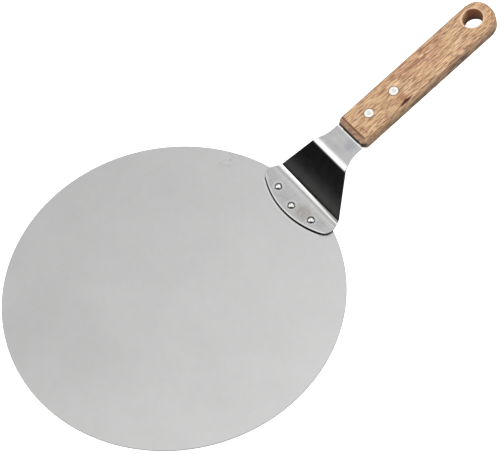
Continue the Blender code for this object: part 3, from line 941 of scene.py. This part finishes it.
def make_shank(shank, rivet, pin):
    middle = shank.thickness / 2
    mid_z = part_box("blade")[1].z + SEAT_GAP + middle

    # Distances along the flat blank
    turn = shank.slope - shank.rise
    lower_mid = shank.lower_radius + middle
    upper_mid = shank.upper_radius + middle
    lower_tangent = lower_mid * tan(shank.slope / 2)
    upper_tangent = upper_mid * tan(turn / 2)
    lower_start = shank.lower_bend - lower_tangent
    lower_end = lower_start + lower_mid * shank.slope
    upper_start = lower_end + shank.slope_length - lower_tangent - upper_tangent
    upper_end = upper_start + upper_mid * turn
    shoulder = upper_end + shank.neck_length - upper_tangent - SEAT_GAP
    tang_end = shoulder + SEAT_GAP + shank.tang_length

    # Centres of the round parts of the outline
    outward = Vector((sin(shank.taper), cos(shank.taper)))
    along = Vector((cos(shank.taper), -sin(shank.taper)))
    on_taper = Vector((lower_start, shank.bend_width / 2))
    front = Vector((shank.foot_front + shank.foot_radius, 0))
    base = on_taper - shank.corner_radius * outward - front
    b = base.dot(along)
    c = base.length_squared - (shank.foot_radius - shank.corner_radius) ** 2
    corner = front + base + (-b - sqrt(b * b - c)) * along
    corner_angle = atan2(corner.y, corner.x - front.x)
    taper_angle = atan2(outward.y, outward.x)
    fillet_y = shank.neck_width / 2 + shank.fillet_radius
    reach = shank.fillet_radius - outward.y * (fillet_y - on_taper.y)
    fillet = Vector((on_taper.x + reach / outward.x, fillet_y))
    tang_half = shank.tang_width / 2
    strokes = [
        (front, corner_angle - pi, 56),
        (corner, taper_angle - corner_angle, 16),
        fillet - shank.fillet_radius * outward,
        (fillet, pi / 2 - taper_angle, 20),
        (shoulder, shank.neck_width / 2),
        (shoulder, tang_half),
        (tang_end - tang_half, tang_half),
        ((tang_end - tang_half, 0), -pi / 2, 16),
    ]
    piece = draw("shank_plate", (shank.foot_front, 0), strokes, lambda x, y: (x, y, mid_z), (0, 0, 1))
    bpy.ops.mesh.edge_face_add()
    mode("OBJECT")
    modify(piece, "MIRROR", use_axis=(False, True, False), merge_threshold=TOUCHING)

    # The bend lines are marked, and the blank is folded from the tang towards the foot
    folds = []
    for start, end, bend in ((lower_start, lower_end, -shank.slope), (upper_start, upper_end, turn)):
        for i in range(BEND_STEPS + 1):
            share_of_bend = (0.5 if i in (0, BEND_STEPS) else 1) / BEND_STEPS
            folds.append((start + (end - start) * i / BEND_STEPS, bend * share_of_bend))
    mode("EDIT")
    for line, _ in folds:
        select_mesh()
        bpy.ops.mesh.bisect(plane_co=(line, 0, 0), plane_no=(1, 0, 0), threshold=TOUCHING)
    for line, bend in reversed(folds):
        choose(piece, lambda vert: vert.co.x > line + 5 * TOUCHING)
        bpy.ops.transform.rotate(value=-bend, orient_axis="Y", center_override=(line, 0, mid_z))
    select_mesh()
    bpy.ops.mesh.normals_make_consistent(inside=False)
    mode("OBJECT")
    modify(piece, "SOLIDIFY", thickness=shank.thickness, offset=0, use_even_offset=True)
    sharp = radians(60)
    modify(piece, "BEVEL", width=shank.edge_radius, segments=3, limit_method="ANGLE", angle_limit=sharp)

    drills = [drill(rivet, place) for place in rivet_places(shank, rivet, mid_z)]
    drills += [drill(pin, place, shank.rise) for place in pin_places(shank, pin)]
    cut(piece, placed(joined(drills)))
    show(piece, shank_steel(shank, rivet), "shank")

    # The narrow faces between the two broad ones are the shears' cut
    piece.data.materials.append(cut_steel(shank))
    for face in piece.data.polygons:
        face.material_index = 1 if abs(face.normal.z) < 0.3 else 0


class LIFTER_OT_shank(bpy.types.Operator):
    """Cut the shank's blank, fold it twice and give it its thickness and soft edges"""

    bl_idname = "lifter.shank"
    bl_label = "Shank"

    def execute(self, context):
        make_shank(*chosen(context, "shank", "blade_rivets", "handle_rivets"))
        return {"FINISHED"}


def make_blade_rivets(shank, rivet):
    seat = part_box("blade")[1].z + shank.thickness + 2 * SEAT_GAP
    body, half = rivet.shank / 2, rivet.head / 2
    dome_radius = (half**2 + rivet.dome**2) / (2 * rivet.dome)
    edge_angle = asin(half / dome_radius)
    broken = 0.0001
    line = [
        (rivet.tail / 2, rivet.recess),
        (body, rivet.recess + rivet.tail / 2 - body),
        (body, seat),
        (half - broken, seat),
        (half, seat + broken),
        ((0, seat + rivet.dome - dome_radius), -edge_angle * 0.985, 20),
        (0, seat + rivet.dome),
    ]
    whole = lathe("rivet_dome", rivet.recess, line, DOME_SIDES)
    surface, places = rivet_steel(rivet, shank), rivet_places(shank, rivet)
    show_each(whole, surface, "blade_rivet", ("right", "middle", "left"), places)


class LIFTER_OT_blade_rivets(bpy.types.Operator):
    """Turn the three domed rivets that hold the foot on the blade"""

    bl_idname = "lifter.blade_rivets"
    bl_label = "Blade Rivets"

    def execute(self, context):
        make_blade_rivets(*chosen(context, "shank", "blade_rivets"))
        return {"FINISHED"}


def make_handle(handle, shank, pin):
    half_width, half_thick = handle.width / 2, handle.thickness / 2
    spare = 3 * handle.front_lean

    # A block, too long in front, whose far upright edges are rounded into each other
    piece = block("handle_grip", -spare, handle.length, handle.width, handle.thickness)
    mode("EDIT")

    def upright(edge):
        a, b = (vert.co for vert in edge.verts)
        return abs(a.z - b.z) > half_thick and a.x > half_width

    choose(piece, upright, "EDGE")
    bulge = 2 ** (-2 / handle.end_fullness)
    bpy.ops.mesh.bevel(offset=half_width * 0.99999, segments=40, profile=bulge, affect="EDGES")
    end_start = handle.length - half_width
    choose(piece, lambda vert: vert.co.x > end_start - TOUCHING)
    stretch = handle.end_length / half_width
    bpy.ops.transform.resize(value=(stretch, 1, 1), center_override=(handle.length, 0, 0))
    weld()
    mode("OBJECT")

    # The long edges and the end are rounded
    weights = piece.data.attributes.new("bevel_weight_edge", "FLOAT", "EDGE")
    for edge in piece.data.edges:
        a, b = (piece.data.vertices[i].co for i in edge.vertices)
        level = abs(a.z - b.z) < TOUCHING and abs(a.z) > half_thick - TOUCHING
        weights.data[edge.index].value = float(level and max(a.x, b.x) > 0)
    soft = {"width": handle.edge_radius, "segments": 12}
    modify(piece, "BEVEL", limit_method="WEIGHT", use_clamp_overlap=False, **soft)

    # Two leaning cuts make the front, and its edges are broken
    mode("EDIT")
    for side in (1, -1):
        select_mesh()
        lean = (-half_thick, 0, side * handle.front_lean)
        bpy.ops.mesh.bisect(
            plane_co=(0, 0, 0), plane_no=lean, use_fill=True, clear_outer=True, threshold=TOUCHING
        )
    choose(piece, lambda edge: len({face.normal.x < -0.8 for face in edge.link_faces}) == 2, "EDGE")
    bpy.ops.mesh.bevel(offset=handle.front_edge, segments=5, affect="EDGES")
    mode("OBJECT")

    # The hanging hole, the slot for the tang and the bores for the rivets
    hole, mouth = handle.hole / 2, handle.hole_mouth
    above = half_thick + OVERRUN
    line = [
        (hole + mouth, -above),
        (hole + mouth, -half_thick),
        ((hole + mouth, mouth - half_thick), pi / 2, 8),
        (hole, half_thick - mouth),
        ((hole + mouth, half_thick - mouth), pi / 2, 8),
        (hole + mouth, above),
        (0, above),
    ]
    hanging = lathe("hanging_hole", -above, line, HANGING_HOLE_SIDES)
    hanging.location = (handle.length - handle.hole_from_end, handle.hole_off_middle, 0)
    cut(piece, placed(hanging))

    slot_length = shank.tang_length + SEAT_GAP
    slot_width, slot_height = shank.tang_width + 2 * SEAT_GAP, shank.thickness + 2 * SEAT_GAP
    cut(piece, block("tang_slot", -OVERRUN, slot_length, slot_width, slot_height))

    bore, head = pin.shank / 2 + SEAT_GAP, pin.head / 2 + SEAT_GAP
    seat = half_thick - pin.head_thickness - SEAT_GAP
    line = both_halves([(bore, seat), (head, seat), (head, above)])
    places = [(s, 0, 0) for s in (pin.from_front, pin.from_front + pin.spacing)]
    cut_each(piece, lathe("rivet_bore", -above, line, BORE_SIDES), places)

    piece.location = handle_front_place(shank)
    piece.rotation_euler = (0, -shank.rise, 0)
    show(piece, handle_wood(handle, pin, shank), "handle")


class LIFTER_OT_handle(bpy.types.Operator):
    """Shape the wooden handle with its rounded end, hanging hole, tang slot and rivet bores"""

    bl_idname = "lifter.handle"
    bl_label = "Handle"

    def execute(self, context):
        make_handle(*chosen(context, "handle", "shank", "handle_rivets"))
        return {"FINISHED"}


def make_handle_rivets(handle, shank, pin):
    top = handle.thickness / 2
    seat = top - pin.head_thickness
    crown = top + pin.crown
    head, body, mark = pin.head / 2, pin.shank / 2, pin.dimple / 2
    soft = pin.crown

    # From the rivet's body up over the rounded head into the shallow mark in its middle
    upper = [
        (body, seat),
        (head, seat),
        (head, crown - soft),
        (head - soft, crown - 0.00004),
        (head - 3 * soft, crown),
        (mark + 0.00015, crown),
        (mark, crown - 0.00002),
        (mark - 0.00015, top + 0.00004),
        (mark - 0.00045, top),
    ]
    whole = lathe("rivet_disc", -top, both_halves(upper), DISC_SIDES)
    surface, places = disc_aluminium(pin, shank), pin_places(shank, pin)
    show_each(whole, surface, "handle_rivet", ("front", "rear"), places, shank.rise)


class LIFTER_OT_handle_rivets(bpy.types.Operator):
    """Turn the two rivets that hold the handle, with a flat head let into each face"""

    bl_idname = "lifter.handle_rivets"
    bl_label = "Handle Rivets"

    def execute(self, context):
        make_handle_rivets(*chosen(context, "handle", "shank", "handle_rivets"))
        return {"FINISHED"}


def make_stage(stage):
    scene = bpy.context.scene
    deselect()
    bpy.ops.mesh.primitive_circle_add(
        vertices=FLOOR_SIDES, radius=stage.floor_size / 2, fill_type="NGON", location=(0, 0, -FLOOR_GAP)
    )
    floor = placed(named("floor"))
    floor.data.materials.append(floor_paint())
    floor.visible_glossy = floor.visible_diffuse = False
    floor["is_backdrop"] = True
    studio_light(stage)

    camera = bpy.data.objects.new("camera", bpy.data.cameras.new("camera"))
    scene.collection.objects.link(camera)
    camera.data.sensor_width = 36
    camera.data.lens = stage.lens
    camera.data.clip_start = 0.01
    right = (0.78768, -0.61306, -0.06095)
    up = (0.54926, 0.65399, 0.5202)
    back = (-0.27906, -0.44323, 0.85186)
    turn = Matrix((right, up, back)).transposed()
    camera.matrix_world = Matrix.Translation(stage.place) @ turn.to_4x4()
    scene.camera = camera
    scene.view_settings.view_transform = "Standard"
    scene.view_settings.look = "None"


class LIFTER_OT_stage(bpy.types.Operator):
    """Set up the floor, the soft light and the camera"""

    bl_idname = "lifter.stage"
    bl_label = "Stage"

    def execute(self, context):
        make_stage(*chosen(context, "stage"))
        return {"FINISHED"}


OPERATORS = (
    LIFTER_OT_blade,
    LIFTER_OT_shank,
    LIFTER_OT_blade_rivets,
    LIFTER_OT_handle,
    LIFTER_OT_handle_rivets,
    LIFTER_OT_stage,
)


class LIFTER_PT_make(bpy.types.Panel):
    """The steps that make the cake lifter"""

    bl_idname = "LIFTER_PT_make"
    bl_label = "Cake Lifter"
    bl_space_type = "VIEW_3D"
    bl_region_type = "UI"
    bl_category = "Cake Lifter"

    def draw(self, context):
        for operator in OPERATORS:
            self.layout.operator(operator.bl_idname)


def register():
    for name, group in SETTINGS.items():
        bpy.utils.register_class(group)
        setattr(bpy.types.Scene, f"lifter_{name}", PointerProperty(type=group))
    for shown in (*OPERATORS, LIFTER_PT_make):
        bpy.utils.register_class(shown)


def unregister():
    for shown in (LIFTER_PT_make, *reversed(OPERATORS)):
        bpy.utils.unregister_class(shown)
    for name, group in reversed(SETTINGS.items()):
        delattr(bpy.types.Scene, f"lifter_{name}")
        bpy.utils.unregister_class(group)


def main():
    register()
    bpy.ops.lifter.blade()
    bpy.ops.lifter.shank()
    bpy.ops.lifter.blade_rivets()
    bpy.ops.lifter.handle()
    bpy.ops.lifter.handle_rivets()
    bpy.ops.lifter.stage()
    boxes = {"cad": CAD_BOX, "visual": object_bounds()}
    {name: [list(corner) for corner in box] for name, box in boxes.items()}


if __name__ == "__main__":
    main()
